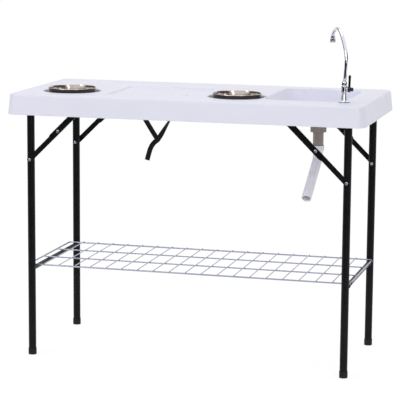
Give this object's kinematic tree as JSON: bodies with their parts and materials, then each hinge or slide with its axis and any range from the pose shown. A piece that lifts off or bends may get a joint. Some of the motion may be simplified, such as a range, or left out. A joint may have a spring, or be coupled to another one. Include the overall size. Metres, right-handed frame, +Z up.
{
  "type": "fish cleaning table",
  "caption": "Folding fish cleaning table: moulded top with sink, gooseneck faucet, drain, bowls in wells and cutting tray, on folding steel legs with braces and a wire shelf.",
  "frame": {"origin": "on the ground under the middle of the top's outline", "axes": "+X along the top towards the sink, -Y towards the person who works at it, +Z up"},
  "size_m": [1.27, 0.6, 1.1927],
  "materials": {
    "top_plastic": "smooth moulded white",
    "black_steel": "satin black powder coat",
    "zinc_steel": "bright zinc plate",
    "bowl_steel": "polished stainless steel",
    "faucet_chrome": "polished chrome plate",
    "drain_grey": "satin light grey",
    "drain_white": "satin white",
    "clip_plastic": "satin black",
    "foot_rubber": "matt black",
    "webbing": "matt black weave"
  },
  "bodies": {
    "top": {"table_top": "top_plastic", "sink_shell": "top_plastic", "front_rail": "black_steel", "rear_rail": "black_steel", "drain_strainer": "bowl_steel", "drain_gasket": "foot_rubber", "drain_nut": "drain_grey", "drain_tailpipe": "drain_grey", "faucet_base": "faucet_chrome", "faucet_body": "faucet_chrome", "faucet_collar": "faucet_chrome", "faucet_nut": "zinc_steel", "hose_connector": "zinc_steel", "strap_staple_left": "zinc_steel", "strap_staple_right": "zinc_steel", "strap_long": "webbing", "strap_short": "webbing"},
    "left_legs": {"left_front_leg": "black_steel", "left_front_foot": "foot_rubber", "left_front_pivot_pin": "zinc_steel", "left_front_leg_rivet": "zinc_steel", "left_rear_leg": "black_steel", "left_rear_foot": "foot_rubber", "left_rear_pivot_pin": "zinc_steel", "left_rear_leg_rivet": "zinc_steel", "left_top_tube": "black_steel", "left_shelf_bar": "black_steel"},
    "left_upper_braces": {"left_front_upper_link": "black_steel", "left_front_brace_rivet": "zinc_steel", "left_rear_upper_link": "black_steel", "left_rear_brace_rivet": "zinc_steel"},
    "left_lower_braces": {"left_front_lower_link": "black_steel", "left_rear_lower_link": "black_steel"},
    "right_legs": {"right_front_leg": "black_steel", "right_front_foot": "foot_rubber", "right_front_pivot_pin": "zinc_steel", "right_front_leg_rivet": "zinc_steel", "right_rear_leg": "black_steel", "right_rear_foot": "foot_rubber", "right_rear_pivot_pin": "zinc_steel", "right_rear_leg_rivet": "zinc_steel", "right_top_tube": "black_steel", "right_shelf_bar": "black_steel"},
    "right_upper_braces": {"right_front_upper_link": "black_steel", "right_front_brace_rivet": "zinc_steel", "right_rear_upper_link": "black_steel", "right_rear_brace_rivet": "zinc_steel"},
    "right_lower_braces": {"right_front_lower_link": "black_steel", "right_rear_lower_link": "black_steel"},
    "shelf_clips": {"shelf_clip_front": "clip_plastic", "shelf_clip_rear": "clip_plastic"},
    "shelf": {"wire_shelf": "zinc_steel"},
    "bowl_left": {"bowl_left": "bowl_steel"},
    "bowl_right": {"bowl_right": "bowl_steel"},
    "spout": {"faucet_spout": "faucet_chrome", "faucet_aerator": "faucet_chrome"},
    "lever": {"faucet_lever": "faucet_chrome", "lever_cap": "faucet_chrome"},
    "outlet": {"drain_outlet": "drain_white"}
  },
  "joints": [
    {"name": "left_leg_fold", "type": "hinge", "parent": "top", "child": "left_legs", "pos_m": [-0.561, 0, 0.901], "axis": [0, -1, 0], "range_deg": [0, 90]},
    {"name": "left_upper_brace_fold", "type": "hinge", "parent": "top", "child": "left_upper_braces", "pos_m": [-0.354, 0, 0.909], "axis": [0, -1, 0], "range_deg": [0, 129.6]},
    {"name": "left_lower_brace_fold", "type": "hinge", "parent": "left_legs", "child": "left_lower_braces", "pos_m": [-0.561, 0, 0.705], "axis": [0, -1, 0], "range_deg": [-137.1, 0]},
    {"name": "right_leg_fold", "type": "hinge", "parent": "top", "child": "right_legs", "pos_m": [0.57, 0, 0.871], "axis": [0, 1, 0], "range_deg": [0, 90]},
    {"name": "right_upper_brace_fold", "type": "hinge", "parent": "top", "child": "right_upper_braces", "pos_m": [0.363, 0, 0.879], "axis": [0, 1, 0], "range_deg": [0, 129.6]},
    {"name": "right_lower_brace_fold", "type": "hinge", "parent": "right_legs", "child": "right_lower_braces", "pos_m": [0.57, 0, 0.675], "axis": [0, 1, 0], "range_deg": [-137.1, 0]},
    {"name": "shelf_clips_removal", "type": "slide", "parent": "top", "child": "shelf_clips", "axis": [0.9922, 0, 0.1249], "range_m": [0, 2.722]},
    {"name": "shelf_removal", "type": "slide", "parent": "shelf_clips", "child": "shelf", "axis": [-0.9231, 0, 0.3846], "range_m": [0, 1.3]},
    {"name": "bowl_left_lift", "type": "slide", "parent": "top", "child": "bowl_left", "axis": [0, 0, 1], "range_m": [0, 0.12]},
    {"name": "bowl_right_lift", "type": "slide", "parent": "top", "child": "bowl_right", "axis": [0, 0, 1], "range_m": [0, 0.12]},
    {"name": "spout_swivel", "type": "hinge", "parent": "top", "child": "spout", "pos_m": [0.54, -0.172, 1], "axis": [0, 0, 1], "continuous": true},
    {"name": "lever_turn", "type": "hinge", "parent": "top", "child": "lever", "pos_m": [0.54, -0.172, 0.9833], "axis": [1, 0, 0], "range_deg": [0, 90]},
    {"name": "outlet_swivel", "type": "hinge", "parent": "top", "child": "outlet", "pos_m": [0.412, 0.032, 0.75], "axis": [0, 0, 1], "range_deg": [-90, 90]}
  ],
  "couplings": [
    {"joint": "left_upper_brace_fold", "follows": "left_leg_fold", "ratio": 1.4395},
    {"joint": "left_lower_brace_fold", "follows": "left_leg_fold", "ratio": -1.522},
    {"joint": "right_upper_brace_fold", "follows": "right_leg_fold", "ratio": 1.4395},
    {"joint": "right_lower_brace_fold", "follows": "right_leg_fold", "ratio": -1.522},
    {"joint": "shelf_clips_removal", "follows": "right_leg_fold", "m_per_rad": 1.7324},
    {"joint": "shelf_removal", "follows": "left_leg_fold", "m_per_rad": 0.8276}
  ]
}
